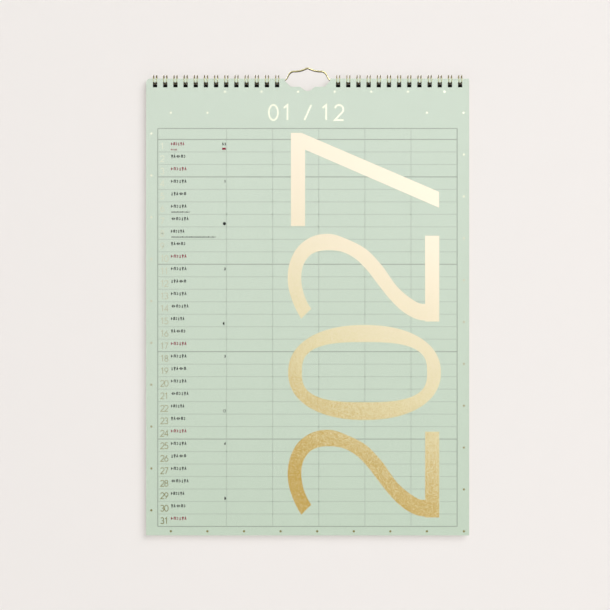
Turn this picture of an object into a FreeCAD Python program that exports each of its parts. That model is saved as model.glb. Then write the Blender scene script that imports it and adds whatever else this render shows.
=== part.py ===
"""Wall calendar of A3 sheets on two twin-loop wire combs, hung from a bent wire hanger.

The calendar hangs with its sheets in XZ planes and its printed face towards -Y. The origin is
the hook point, under the peak of the hanger wire, and the hanger lies in the plane Y = 0.
Lengths are millimetres. Heights on the sheets are measured down from their common top edge.
"""

import FreeCAD
import Part
import Sketcher
import math
import os

Vector = FreeCAD.Vector

# Driving dimensions, one cell of the sheet each.
DIMENSIONS = {
    # The sheets: A3, standing upright.
    "sheet_width": 297.0,
    "sheet_height": 420.0,
    "pages_thickness": 1.5,
    "board_thickness": 0.5,
    "film_thickness": 0.25,
    "film_gap": 0.45,
    "round_corner": 4.0,
    "cut_corner": 0.7,
    # The punched holes and the twin loops in them.
    "loop_pitch": 9.35,
    "loop_edge_margin": 8.0,
    "loops_left_out": 5,
    "loop_twin_spacing": 2.7,
    "comb_wire": 0.95,
    "ring_centre_drop": 0.9,
    "ring_clearance": 0.18,
    "hole_height": 4.5,
    "hole_side_clearance": 0.18,
    "hole_top_clearance": 0.35,
    "base_bend_radius": 1.3,
    "closure_angle": -45.0,
    "closure_gap": 0.3,
    # The cut-out in the top edge of every sheet, seen from the middle of the sheet.
    "eye_half_width": 20.9,
    "eye_side_depth": 1.9,
    "eye_shelf_outer": 15.7,
    "eye_shelf_depth": 7.5,
    "eye_shelf_inner": 6.9,
    "eye_point_depth": 13.0,
    "eye_side_round": 2.5,
    "eye_shelf_round": 2.0,
    "eye_point_round": 5.2,
    # The hanger wire, with heights above the sheets' top edge.
    "hanger_wire": 1.2,
    "hanger_length": 200.0,
    "arm_drop": 1.5,
    "hump_foot": 20.1,
    "hump_shoulder_outer": 16.9,
    "hump_shoulder_inner": 6.7,
    "hump_shoulder_height": 6.6,
    "hump_peak_height": 9.85,
    "hump_foot_bend": 1.6,
    "hump_shoulder_bend": 2.2,
    "hump_peak_bend": 3.0,
    "turn_clearance": 0.15,
}

# Places worked out from the driving dimensions. The rings are drawn round the middle of the
# pages and board, far enough in front of the hanger's arms for the film to swing past them.
STACK = "(sheet.pages_thickness + sheet.board_thickness)"
FILM_OUTER = f"({STACK} / 2 + sheet.film_gap + sheet.film_thickness)"
FILM_SWING = f"sqrt(pow({FILM_OUTER}, 2) + pow(sheet.ring_centre_drop, 2))"
RING_Y = f"(-({FILM_SWING} + sheet.turn_clearance + sheet.hanger_wire / 2))"
PEAK_SLOPE = (
    "atan((sheet.hump_peak_height - sheet.hump_shoulder_height) / sheet.hump_shoulder_inner)"
)
PEAK_CENTRE = f"(sheet.hump_peak_height - sheet.hump_peak_bend * (1 / cos({PEAK_SLOPE}) - 1))"
TOP_EDGE_Z = f"(sheet.hanger_wire / 2 - {PEAK_CENTRE})"
ARM_BELOW_RING = "(sheet.arm_drop - sheet.ring_centre_drop)"
RING_INNER = (
    f"(sqrt(pow({RING_Y}, 2) + pow({ARM_BELOW_RING}, 2))"
    " + sheet.hanger_wire / 2 + sheet.ring_clearance)"
)
HOLE_TOP = (
    f"(sheet.ring_centre_drop + sqrt(pow({RING_INNER} - sheet.hole_top_clearance, 2)"
    f" - pow({FILM_OUTER}, 2)))"
)
HOLE_BOTTOM = f"({HOLE_TOP} + sheet.hole_height)"
HOLE_WIDTH = (
    "(sheet.loop_twin_spacing + sheet.comb_wire + 2 * sheet.hole_side_clearance)"
)
INNERMOST_LOOP = "(sheet.loop_pitch * (sheet.loops_left_out + 1) / 2)"
PITCHES = (
    f"floor((sheet.sheet_width / 2 - sheet.loop_edge_margin - {INNERMOST_LOOP})"
    " / sheet.loop_pitch)"
)
OUTERMOST_LOOP = f"({INNERMOST_LOOP} + sheet.loop_pitch * {PITCHES})"


def write_sheet(doc):
    """The spreadsheet of driving dimensions, with an alias on each value's cell."""
    sheet = doc.addObject("Spreadsheet::Sheet", "sheet")
    for row, (alias, size) in enumerate(DIMENSIONS.items(), start=1):
        sheet.set(f"A{row}", alias)
        sheet.set(f"B{row}", str(size))
        sheet.setAlias(f"B{row}", alias)
    doc.recompute()
    return sheet


def origin_feature(body, role):
    """One of the body's own origin planes or axes."""
    for feature in body.Origin.OriginFeatures:
        if feature.Role == role:
            return feature
    raise RuntimeError(f"{body.Name} has no {role}")


def closed_profile(body, name, corners):
    """A sketch on the body's XZ plane whose corners are pairs of expressions for X and Z."""
    sketch = body.newObject("Sketcher::SketchObject", name)
    sketch.AttachmentSupport = [(origin_feature(body, "XZ_Plane"), "")]
    sketch.MapMode = "FlatFace"
    places = [
        Vector(sketch.evalExpression(across), sketch.evalExpression(up), 0)
        for across, up in corners
    ]
    count = len(places)
    for number, place in enumerate(places):
        sketch.addGeometry(Part.LineSegment(place, places[(number + 1) % count]))
    for number in range(count):
        sketch.addConstraint(
            Sketcher.Constraint("Coincident", number, 2, (number + 1) % count, 1)
        )
    for number, (across, up) in enumerate(corners):
        for kind, axis, expression in (
            ("DistanceX", -2, across),
            ("DistanceY", -1, up),
        ):
            if expression == "0":
                sketch.addConstraint(
                    Sketcher.Constraint("PointOnObject", number, 1, axis)
                )
                continue
            size = sketch.evalExpression(expression)
            place = sketch.addConstraint(
                Sketcher.Constraint(kind, -1, 1, number, 1, size)
            )
            sketch.setExpression(f"Constraints[{place}]", expression)
    return sketch


def cut_through(body, name, sketch):
    """A pocket of the sketch through the whole thickness of the sheet."""
    pocket = body.newObject("PartDesign::Pocket", name)
    pocket.Profile = sketch
    pocket.Type = "ThroughAll"
    pocket.Reversed = True
    body.Document.recompute()
    if pocket.Shape.Volume >= pocket.BaseFeature.Shape.Volume:
        raise RuntimeError(f"{name} cuts nothing")
    return pocket


def edges_through(shape, places):
    """Names of the straight edges along Y that stand at the given X and Z places."""
    found = []
    for number, edge in enumerate(shape.Edges, start=1):
        ends = [vertex.Point for vertex in edge.Vertexes]
        if len(ends) != 2 or abs(ends[0].y - ends[1].y) < 0.1:
            continue
        for across, up in places:
            if math.hypot(ends[0].x - across, ends[0].z - up) < 0.01:
                found.append(f"Edge{number}")
    return found


def round_edges(body, name, base, places, alias):
    """A fillet of the edges through the sheet at the given places."""
    names = edges_through(base.Shape, places)
    if len(names) != len(places):
        raise RuntimeError(f"{name} found {len(names)} edges of {len(places)}")
    fillet = body.newObject("PartDesign::Fillet", name)
    fillet.Base = (base, names)
    fillet.setExpression("Radius", f"sheet.{alias}")
    body.Document.recompute()
    return fillet


def row_of_holes(body, side, first_x):
    """One comb's row of holes, from its first hole at the left to its last."""
    left = f"{first_x} - {HOLE_WIDTH} / 2"
    right = f"{first_x} + {HOLE_WIDTH} / 2"
    top = f"-{HOLE_TOP}"
    bottom = f"-{HOLE_BOTTOM}"
    corners = [(left, bottom), (right, bottom), (right, top), (left, top)]
    sketch = closed_profile(body, f"hole_{side}_sketch", corners)
    hole = cut_through(body, f"hole_{side}", sketch)
    row = body.newObject("PartDesign::LinearPattern", f"holes_{side}")
    row.Originals = [hole]
    row.Direction = (origin_feature(body, "X_Axis"), [""])
    row.setExpression("Length", f"sheet.loop_pitch * {PITCHES}")
    row.setExpression("Occurrences", f"{PITCHES} + 1")
    body.Tip = row
    body.Document.recompute()
    return row


def punched_sheet(doc, label, thickness, back_y):
    """A sheet, or a stack of them, with its corners, cut-out and two rows of holes."""
    body = doc.addObject("PartDesign::Body", label)
    body.Label = label
    body.setExpression("Placement.Base.y", back_y)
    body.setExpression("Placement.Base.z", TOP_EDGE_Z)

    half = "sheet.sheet_width / 2"
    corners = [
        (f"-{half}", "-sheet.sheet_height"),
        (half, "-sheet.sheet_height"),
        (half, "0"),
        (f"-{half}", "0"),
    ]
    outline = closed_profile(body, f"{label}_outline", corners)
    blank = body.newObject("PartDesign::Pad", f"{label}_blank")
    blank.Profile = outline
    blank.setExpression("Length", f"sheet.{thickness}")
    doc.recompute()

    side = body.evalExpression(half)
    height = body.evalExpression("sheet.sheet_height")
    rounded = round_edges(
        body, f"{label}_round_corner", blank, [(-side, 0)], "round_corner"
    )
    trimmed = [(side, 0), (side, -height), (-side, -height)]
    round_edges(body, f"{label}_cut_corners", rounded, trimmed, "cut_corner")

    above = "sheet.eye_side_depth"
    eye = [
        ("-sheet.eye_half_width", above),
        ("-sheet.eye_half_width", "-sheet.eye_side_depth"),
        ("-sheet.eye_shelf_outer", "-sheet.eye_shelf_depth"),
        ("-sheet.eye_shelf_inner", "-sheet.eye_shelf_depth"),
        ("0", "-sheet.eye_point_depth"),
        ("sheet.eye_shelf_inner", "-sheet.eye_shelf_depth"),
        ("sheet.eye_shelf_outer", "-sheet.eye_shelf_depth"),
        ("sheet.eye_half_width", "-sheet.eye_side_depth"),
        ("sheet.eye_half_width", above),
    ]
    eye_sketch = closed_profile(body, f"{label}_eye_sketch", eye)
    cut = cut_through(body, f"{label}_eye", eye_sketch)
    turns = [
        (body.evalExpression(across), body.evalExpression(up)) for across, up in eye
    ]
    sides = [turns[1], turns[2], turns[6], turns[7]]
    cut = round_edges(body, f"{label}_eye_sides", cut, sides, "eye_side_round")
    shelf = [turns[3], turns[5]]
    cut = round_edges(body, f"{label}_eye_shelf", cut, shelf, "eye_shelf_round")
    round_edges(body, f"{label}_eye_point", cut, [turns[4]], "eye_point_round")

    row_of_holes(body, f"left_{label}", f"-{OUTERMOST_LOOP}")
    row_of_holes(body, f"right_{label}", INNERMOST_LOOP)
    return body


def bent_path(points, radii):
    """Edges of a bent wire's centreline: straight runs joined by tangent arcs."""
    edges = []
    start = points[0]
    for corner, after, radius in zip(points[1:-1], points[2:], radii):
        arriving = (corner - start).normalize()
        leaving = (after - corner).normalize()
        setback = radius * math.tan(arriving.getAngle(leaving) / 2)
        first = corner - arriving * setback
        last = corner + leaving * setback
        towards_centre = (leaving - arriving).normalize()
        reach = math.hypot(radius, setback)
        middle = corner + towards_centre * (reach - radius)
        edges.append(Part.LineSegment(start, first).toShape())
        edges.append(Part.Arc(first, middle, last).toShape())
        start = last
    edges.append(Part.LineSegment(start, points[-1]).toShape())
    return edges


def swept_wire(edges, thickness):
    """A round wire along joined tangent edges, checked against its section times its length."""
    spine = Part.Wire(edges)
    begin = edges[0].Vertexes[0].Point
    along = edges[0].tangentAt(edges[0].FirstParameter)
    section = Part.Wire(Part.Circle(begin, along, thickness / 2).toShape())
    solid = spine.makePipeShell([section], True, True)
    expected = math.pi * (thickness / 2) ** 2 * spine.Length
    if abs(solid.Volume - expected) > 0.01 * expected:
        raise RuntimeError("a swept wire has the wrong volume")
    return solid


def named_feature(doc, label, shape):
    """A document object that holds a shape made from the sheet's sizes."""
    feature = doc.addObject("Part::Feature", label)
    feature.Label = label
    feature.Shape = shape
    feature.Placement = FreeCAD.Placement()
    return feature


def hanger_wire(doc, sheet):
    """The hanger: two arms behind the sheets and a wavy hump over the cut-out."""
    size = sheet.evalExpression
    top = size(TOP_EDGE_Z)
    arm = top - size("sheet.arm_drop")
    shoulder = top + size("sheet.hump_shoulder_height")
    peak = top + size("sheet.hump_peak_height")
    tip = size("sheet.hanger_length / 2")
    half = [
        (tip, arm),
        (size("sheet.hump_foot"), arm),
        (size("sheet.hump_shoulder_outer"), shoulder),
        (size("sheet.hump_shoulder_inner"), shoulder),
    ]
    points = [Vector(-across, 0, up) for across, up in half]
    points.append(Vector(0, 0, peak))
    points += [Vector(across, 0, up) for across, up in reversed(half)]
    foot = size("sheet.hump_foot_bend")
    bend = size("sheet.hump_shoulder_bend")
    radii = [foot, bend, bend, size("sheet.hump_peak_bend"), bend, bend, foot]
    solid = swept_wire(bent_path(points, radii), size("sheet.hanger_wire"))
    return named_feature(doc, "hanger_wire", solid)


def on_ring(centre, radius, degrees, across):
    """A point of the ring around the binding's axis, from straight back towards the top."""
    turn = math.radians(degrees)
    return centre + Vector(
        across, radius * math.cos(turn), radius * math.sin(turn)
    )


def along_ring(degrees):
    """The direction in which the angle grows at that place of the ring."""
    turn = math.radians(degrees)
    return Vector(0, -math.sin(turn), math.cos(turn))


def loop_edges(centre, middle, sizes):
    """One twin loop's centreline, from half a base span before it to half a span after."""
    radius, twin, bend, reach, first, last = sizes
    halfway = (first + last) / 2
    diagonal = math.sqrt(0.5)
    rise = along_ring(first)
    go = along_ring(last)
    edges = []
    for side in (-1, 1):
        across = middle + side * twin / 2
        foot = on_ring(centre, radius, first, across)
        base = foot - rise * bend + Vector(side * bend, 0, 0)
        aside = Vector(side * bend * (1 - diagonal), 0, 0)
        corner = foot - rise * bend * diagonal + aside
        span = base + Vector(middle + side * reach - base.x, 0, 0)
        top = on_ring(centre, radius, halfway, across)
        end = on_ring(centre, radius, last, across)
        leg = [
            Part.LineSegment(span, base).toShape(),
            Part.Arc(base, corner, foot).toShape(),
            Part.Arc(foot, top, end).toShape(),
        ]
        if side < 0:
            edges += leg
            tip = on_ring(centre, radius, last, middle) + go * (twin / 2)
            other = on_ring(centre, radius, last, middle + twin / 2)
            edges.append(Part.Arc(end, tip, other).toShape())
        else:
            back = [
                Part.Arc(end, top, foot).toShape(),
                Part.Arc(foot, corner, base).toShape(),
                Part.LineSegment(base, span).toShape(),
            ]
            edges += back
    return edges


def wire_comb(doc, sheet, label, first_x):
    """One comb: a row of twin loops bent from a single wire, closed behind the back board."""
    size = sheet.evalExpression
    wire = size("sheet.comb_wire")
    twin = size("sheet.loop_twin_spacing")
    bend = size("sheet.base_bend_radius")
    pitch = size("sheet.loop_pitch")
    radius = size(RING_INNER) + wire / 2
    drop = size(TOP_EDGE_Z) - size("sheet.ring_centre_drop")
    centre = Vector(0, size(RING_Y), drop)
    closure = size("sheet.closure_angle")
    opening = wire + size("sheet.closure_gap")
    base_turn = math.degrees((opening / 2 + bend) / radius)
    tip_turn = math.degrees((opening / 2 + twin / 2) / radius)
    first = closure + base_turn
    last = closure + 360 - tip_turn
    sizes = (radius, twin, bend, pitch / 2, first, last)
    start = size(first_x)
    edges = []
    for number in range(int(size(PITCHES)) + 1):
        edges += loop_edges(centre, start + number * pitch, sizes)
    return named_feature(doc, label, swept_wire(edges, wire))


def check_document(doc):
    """Stops at any object that failed to recompute."""
    doc.recompute()
    for item in doc.Objects:
        if "Invalid" in item.State or "Error" in item.State:
            raise RuntimeError(f"{item.Name} failed: {item.State}")


def write_part(item):
    """Writes one sub-part, once its shape is a valid single solid."""
    shape = item.Shape
    if shape.isNull() or not shape.isValid() or len(shape.Solids) != 1:
        raise RuntimeError(f"{item.Label} is not one valid solid")
    shape.exportStep(os.path.join("parts", f"{item.Label}.step"))
    box = shape.BoundBox
    corners = (box.XMin, box.XMax, box.YMin, box.YMax, box.ZMin, box.ZMax)
    print(item.Label, round(shape.Volume, 1), [round(value, 2) for value in corners])


def main():
    doc = FreeCAD.newDocument("wall_calendar")
    sheet = write_sheet(doc)
    back = f"{RING_Y} + {STACK} / 2"
    front = f"{RING_Y} - {STACK} / 2"
    parts = [
        hanger_wire(doc, sheet),
        wire_comb(doc, sheet, "wire_comb_left", f"-{OUTERMOST_LOOP}"),
        wire_comb(doc, sheet, "wire_comb_right", INNERMOST_LOOP),
        punched_sheet(doc, "back_board", "board_thickness", back),
        punched_sheet(
            doc, "month_pages", "pages_thickness", f"{back} - sheet.board_thickness"
        ),
        punched_sheet(doc, "front_cover", "film_thickness", f"{front} - sheet.film_gap"),
    ]
    check_document(doc)
    os.makedirs("parts", exist_ok=True)
    for item in parts:
        write_part(item)


main()
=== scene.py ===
"""Wall calendar with a clear foiled cover: the finishes, the print and the stage.

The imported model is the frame. The sheets, the wires and the hanger are its nodes and get their
finishes here. The ruled table, the numerals, the marks and the foil are thin printed surfaces
that lie on the page or on the film. Lengths are in metres.
"""

import math

import bpy
import numpy as np
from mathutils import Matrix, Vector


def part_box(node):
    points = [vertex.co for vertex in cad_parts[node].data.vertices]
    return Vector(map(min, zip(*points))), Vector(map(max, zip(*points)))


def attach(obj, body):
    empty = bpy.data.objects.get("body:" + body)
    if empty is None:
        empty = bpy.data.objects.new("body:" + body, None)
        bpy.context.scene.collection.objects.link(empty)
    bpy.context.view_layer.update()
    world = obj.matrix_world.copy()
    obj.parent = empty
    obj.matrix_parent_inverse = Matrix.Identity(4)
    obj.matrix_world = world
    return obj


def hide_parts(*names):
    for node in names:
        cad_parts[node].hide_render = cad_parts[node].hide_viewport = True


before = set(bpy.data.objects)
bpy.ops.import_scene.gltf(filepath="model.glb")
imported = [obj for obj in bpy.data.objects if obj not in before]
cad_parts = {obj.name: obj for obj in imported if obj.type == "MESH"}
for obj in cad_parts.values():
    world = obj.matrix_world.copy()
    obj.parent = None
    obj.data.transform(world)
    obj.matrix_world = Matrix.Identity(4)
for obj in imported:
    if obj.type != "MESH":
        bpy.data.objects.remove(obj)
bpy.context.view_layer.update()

bl_info = {
    "name": "Wall Calendar",
    "version": (1, 0, 0),
    "blender": (4, 5, 0),
    "location": "3D View > Sidebar > Calendar",
    "description": "Finishes, print and stage of a foiled wall calendar",
    "category": "Object",
}

MM = 0.001
PAGE_LOW, PAGE_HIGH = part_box("month_pages")
SHEET_LEFT = float(PAGE_LOW[0])
SHEET_TOP = float(PAGE_HIGH[2])
SHEET_FOOT = float(PAGE_LOW[2])
PAGE_FACE = float(PAGE_LOW[1])
FILM_FACE = float(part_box("front_cover")[0][1])
COMBS = ("wire_comb_left", "wire_comb_right")
DAYS = 31
WEEK = 7
FIRST_SUNDAY = 3
COLUMNS = 5
# The punched holes stand from 25 to 145 mm either side of the middle.
HOLES_MIDDLE = 85 * MM
HOLES_REACH = 60 * MM
# The light from all round, and the share of the wall's and the floor's light that is even.
AMBIENT = 0.4
EVEN_SHARE = 0.3
WALL_FACE = 2.2 * MM
FLOOR_LEVEL = -1.4
LOOK_LEVEL = -0.217


def linear(code):
    """Turns an sRGB hex colour into linear red, green and blue."""
    level = np.array([int(code[place:place + 2], 16) for place in (1, 3, 5)]) / 255
    return tuple(np.where(level <= 0.04045, level / 12.92, ((level + 0.055) / 1.055) ** 2.4))


def paint(colour):
    """Adds a full alpha to a colour of three values, as a node's socket takes it."""
    return (*colour[:3], 1.0)


def distance(name, description, size):
    """A size as a property. It is given in millimetres and kept in metres."""
    return bpy.props.FloatProperty(name=name, description=description, default=size * MM,
                                   subtype="DISTANCE", unit="LENGTH")


def tint(name, description, code):
    """A colour as a property, from its sRGB hex code."""
    return bpy.props.FloatVectorProperty(name=name, description=description, size=3, min=0,
                                         max=1, subtype="COLOR", default=linear(code))


class CalendarSizes(bpy.types.PropertyGroup):
    """Sizes of the print, of the foil and of the hanger's wire."""

    header_top: distance("Header rule", "First rule below the top edge", 45.87)
    table_top: distance("Table top", "Rule above the first day, below the top edge", 55.95)
    row_height: distance("Row height", "Height of one day's row", 11.48)
    table_left: distance("Table left", "Left rule, from the left edge", 10.7)
    first_column: distance("First column", "Rule before the first writing column", 73.9)
    column_width: distance("Column width", "Width of a writing column", 42.42)
    rule_width: distance("Rule width", "Width of a ruled line", 0.85)
    date_left: distance("Date left", "Date numerals, from the left edge", 12.9)
    date_drop: distance("Date drop", "Date numeral below its row's rule", 3.05)
    date_height: distance("Date height", "Height of a date numeral", 6.25)
    date_stroke: distance("Date stroke", "Stroke width of a date numeral", 0.7)
    date_pitch: distance("Date pitch", "From one date numeral to the next", 3.7)
    title_top: distance("Title top", "The month's numerals, below the top edge", 23.4)
    title_height: distance("Title height", "Height of the month's foil numerals", 15.6)
    title_stroke: distance("Title stroke", "Stroke width of the month's numerals", 1.7)
    title_pitch: distance("Title pitch", "From one of the month's numerals to the next", 12.4)
    dot_size: distance("Dot size", "Diameter of a foil dot", 2.1)
    dot_pitch: distance("Dot pitch", "From one dot to the next across", 33.65)
    dot_drop: distance("Dot drop", "From one dot to the next down", 38.49)
    mark_left: distance("Mark left", "Weekday marks, from the left edge", 22.9)
    mark_drop: distance("Mark drop", "Weekday mark below its row's rule", 2.5)
    mark_height: distance("Mark height", "Height of a weekday mark", 3.15)
    mark_stroke: distance("Mark stroke", "Stroke width of a weekday mark", 0.74)
    note_drop: distance("Note drop", "Note below its row's rule", 8.6)
    note_height: distance("Note height", "Height of a note", 1.6)
    note_stroke: distance("Note stroke", "Stroke width of a note", 0.46)
    moon_left: distance("Moon left", "Middle of the moons, from the left edge", 72.0)
    moon_radius: distance("Moon radius", "Radius of a moon", 1.5)
    ink_lift: distance("Ink lift", "How far the print stands off the sheet", 0.04)
    foil_thickness: distance("Foil thickness", "Thickness of the foil on the film", 0.05)
    hanger_fullness: distance("Hanger fullness", "Extra radius over the cut-out", 0.31)


class CalendarColours(bpy.types.PropertyGroup):
    """Colours of the calendar and of its wall."""

    # The paper is darker at the foot than at the top: painted shade for light that falls off
    # downwards.
    paper_top: tint("Paper, top", "Mint paper near the binding", "#D2E0D1")
    paper_bottom: tint("Paper, bottom", "Mint paper at the lower edge", "#C6D7C4")
    board: tint("Board", "Grey back board", "#BDB8AE")
    # The combs' olive is the wire's own colour, made darker as painted shade for the loops'
    # crowns.
    combs: tint("Combs", "Olive gold wire of the combs", "#857B54")
    # Painted highlight: the pale band where the loops lie over the sheets' top edge.
    rubbed: tint("Combs, rubbed", "Pale front of the combs' loops", "#DFE2BA")
    # The hanger's pale colour is its painted lit top, and the dark one after it is painted shade
    # below.
    hanger: tint("Hanger", "Champagne wire of the hanger", "#F0E9B6")
    underside: tint("Hanger, underside", "Dark underside of the hanger", "#4A3B16")
    film: tint("Film", "Clear film", "#F2F5F0")
    ink: tint("Ink", "Dark ink of the marks", "#0F1A13")
    red: tint("Red", "Red ink of the rest days", "#8C0A30")
    # The page foils go from pale at the top to gold at the foot: a painted reflection of a light
    # above.
    date_pale: tint("Dates, top", "Foil of the dates near the binding", "#E9EED8")
    date_gold: tint("Dates, bottom", "Foil of the dates at the lower edge", "#7F7C36")
    title_pale: tint("Dots, top", "Foil of the dots and the month near the binding", "#F8FBE6")
    title_gold: tint("Dots, bottom", "Foil of the dots at the lower edge", "#837D38")
    # The year's foil colours are a painted reflection of a soft light above and to the right.
    foil_pale: tint("Foil, pale", "Year's foil where it catches the light", "#FCF0DA")
    foil_straw: tint("Foil, straw", "Year's foil half way from pale to gold", "#EBE0B0")
    foil_gold: tint("Foil, gold", "Year's foil turned from the light", "#CFAD5B")
    wall: tint("Wall", "Wall and floor", "#F2EEEB")


def on_sheet(places, face):
    """Places (..., 2) from the sheet's left and top edges become points on a face.

    x is the left edge plus the first value, z is the top edge less the second, and y is the face.
    """
    places = np.asarray(places, dtype=float)
    depth = np.full(places.shape[:-1], face)
    return np.stack([SHEET_LEFT + places[..., 0], depth, SHEET_TOP - places[..., 1]], axis=-1)


def smooth_line(corners, count):
    """A smooth line through the corners, as count points.

    Between two corners it is the cubic whose slopes at its ends are the changes of the line
    with its length there.
    """
    corners = np.asarray(corners, dtype=float)
    length = np.concatenate([[0], np.cumsum(np.linalg.norm(np.diff(corners, axis=0), axis=1))])
    slope = np.gradient(corners, length, axis=0, edge_order=2)
    along = np.linspace(0, length[-1], count)
    span = np.clip(np.searchsorted(length, along, side="right") - 1, 0, len(length) - 2)
    width = (length[span + 1] - length[span])[:, None]
    part = (along - length[span])[:, None] / width
    return (
        (1 + 2 * part) * (1 - part) ** 2 * corners[span]
        + part * (1 - part) ** 2 * width * slope[span]
        + part ** 2 * (3 - 2 * part) * corners[span + 1]
        + part ** 2 * (part - 1) * width * slope[span + 1]
    )


def arc(centre, radii, start, end, count=13):
    """Points of an ellipse: centre plus the radii times cosine and sine of the turning angle."""
    turn = np.radians(np.linspace(start, end, count))
    return np.stack([centre[0] + radii[0] * np.cos(turn), centre[1] + radii[1] * np.sin(turn)],
                    axis=-1)


def band(first, second):
    """A grid of two rows: the first edge and the second."""
    return np.stack([np.asarray(first, dtype=float), np.asarray(second, dtype=float)])


def stroke(path, width):
    """A grid of constant width along a path: the path plus and less half the width sideways.

    Sideways is square to the mean of the directions before and after each point, and longer by
    one over the cosine of half the turn, so that a corner keeps the width.
    """
    path = np.asarray(path, dtype=float)
    run = np.diff(path, axis=0)
    run = run / np.linalg.norm(run, axis=1)[:, None]
    closed = np.allclose(path[0], path[-1])
    before = np.vstack([run[-1:] if closed else run[:1], run])
    after = np.vstack([run, run[:1] if closed else run[-1:]])
    mean = before + after
    mean = mean / np.linalg.norm(mean, axis=1)[:, None]
    sideways = np.stack([-mean[:, 1], mean[:, 0]], axis=-1)
    reach = width / 2 / np.maximum(np.sum(mean * after, axis=1), 0.35)[:, None]
    return band(path - sideways * reach, path + sideways * reach)


def box_patch(left, top, width, height):
    """A rectangle as a grid, from its left and top places, its width and its height."""
    return band([(left, top), (left + width, top)],
                [(left, top + height), (left + width, top + height)])


def disc(centre, radius, start=0, end=360):
    """A disc or a part of one: the centre and the arc about it, joined by a band."""
    rim = arc(centre, (radius, radius), start, end, 17)
    return band(np.broadcast_to(np.asarray(centre, dtype=float), rim.shape), rim)


def flat_mesh(name, patches, face):
    """One mesh of flat grids that lie on a face and look out of the sheet, along -Y.

    Each grid's cell is four neighbours. Cells with no area are left out, and a cell that runs
    the wrong way round is turned.
    """
    points = []
    cells = []
    count = 0
    for patch in patches:
        rows, columns = patch.shape[:2]
        index = count + np.arange(rows * columns).reshape(rows, columns)
        cells.append(np.stack(
            [index[:-1, :-1], index[:-1, 1:], index[1:, 1:], index[1:, :-1]],
            axis=-1).reshape(-1, 4))
        points.append(on_sheet(patch, face).reshape(-1, 3))
        count += rows * columns
    points = np.concatenate(points)
    cells = np.concatenate(cells)
    x = points[cells, 0]
    z = points[cells, 2]
    area = 0.5 * np.sum(x * np.roll(z, -1, axis=1) - np.roll(x, -1, axis=1) * z, axis=1)
    cells = np.where((area < 0)[:, None], cells[:, ::-1], cells)[np.abs(area) > 1e-12]
    mesh = bpy.data.meshes.new(name)
    mesh.from_pydata(points.tolist(), [], cells.tolist())
    mesh.update()
    return mesh


def wire_mesh(name, path, radius, sides=20):
    """A round wire along a path in the plane of the hanger, closed at both ends.

    Each ring is the path's point, plus the radius there times the cosine along the square to
    the path and times the sine along Y.
    """
    along = np.gradient(path, axis=0)
    along = along / np.linalg.norm(along, axis=1)[:, None]
    turn = np.linspace(0, 2 * np.pi, sides, endpoint=False)
    reach = radius[:, None] * np.cos(turn)
    x = path[:, 0:1] - along[:, 1:2] * reach
    z = path[:, 1:2] + along[:, 0:1] * reach
    y = radius[:, None] * np.sin(turn)
    index = np.arange(len(path) * sides).reshape(len(path), sides)
    beside = np.roll(index, -1, axis=1)
    cells = np.stack([index[:-1], index[1:], beside[1:], beside[:-1]], axis=-1).reshape(-1, 4)
    ends = [index[0].tolist(), index[-1, ::-1].tolist()]
    mesh = bpy.data.meshes.new(name)
    mesh.from_pydata(np.stack([x, y, z], axis=-1).reshape(-1, 3).tolist(), [],
                     cells.tolist() + ends)
    mesh.polygons.foreach_set("use_smooth", [True] * len(cells) + [False, False])
    mesh.update()
    return mesh


def add_piece(name, mesh, material, body):
    """Adds the piece, gives it its material and lets it ride on its body."""
    piece = bpy.data.objects.new(name, mesh)
    bpy.context.scene.collection.objects.link(piece)
    mesh.materials.append(material)
    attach(piece, body)
    return piece


def print_piece(name, patches, face, material, body="binding"):
    """Lays flat patches on a face as one printed piece."""
    return add_piece(name, flat_mesh(name, patches, face), material, body)


def numeral_paths(character):
    """Centre lines of a light numeral in a box 0.6 wide and 1 high, with z up."""
    if character == "0":
        return [arc((0.3, 0.5), (0.3, 0.5), 90, 450, 29)]
    if character == "1":
        return [np.array([(0.1, 0.8), (0.34, 1.0), (0.34, 0.0)])]
    if character == "2":
        hook = arc((0.3, 0.71), (0.28, 0.29), 165, -35, 15)
        return [np.vstack([hook, [(0.02, 0.0), (0.6, 0.0)]])]
    if character == "3":
        upper = arc((0.27, 0.75), (0.25, 0.25), 150, -90, 15)
        lower = arc((0.27, 0.25), (0.29, 0.25), 90, -150, 17)
        return [upper, lower]
    if character == "4":
        return [np.array([(0.45, 0.0), (0.45, 1.0), (0.0, 0.28), (0.62, 0.28)])]
    if character == "5":
        bowl = arc((0.27, 0.32), (0.3, 0.32), 125, -150, 17)
        return [np.vstack([[(0.52, 1.0), (0.13, 1.0)], bowl])]
    if character == "6":
        return [np.array([(0.42, 1.0), (0.07, 0.44)]), arc((0.3, 0.3), (0.28, 0.3), 150, 510, 25)]
    if character == "7":
        return [np.array([(0.02, 1.0), (0.56, 1.0), (0.18, 0.0)])]
    if character == "8":
        upper = arc((0.3, 0.76), (0.22, 0.24), -90, 270, 21)
        lower = arc((0.3, 0.26), (0.28, 0.26), 90, 450, 25)
        return [upper, lower]
    if character == "9":
        return [np.array([(0.18, 0.0), (0.53, 0.56)]), arc((0.3, 0.7), (0.28, 0.3), -30, 330, 25)]
    return [np.array([(0.05, 0.0), (0.5, 1.0)])]


def numeral_patches(text, left, top, height, width, pitch):
    """Strokes of a row of numerals: each centre line is scaled by the height and set at its
    place, one pitch after the last."""
    patches = []
    for place, character in enumerate(text):
        for path in numeral_paths(character):
            across = left + place * pitch + width / 2 + path[:, 0] * (height - width)
            down = top + width / 2 + (1 - path[:, 1]) * (height - width)
            patches.append(stroke(np.stack([across, down], axis=-1), width))
    return patches


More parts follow.
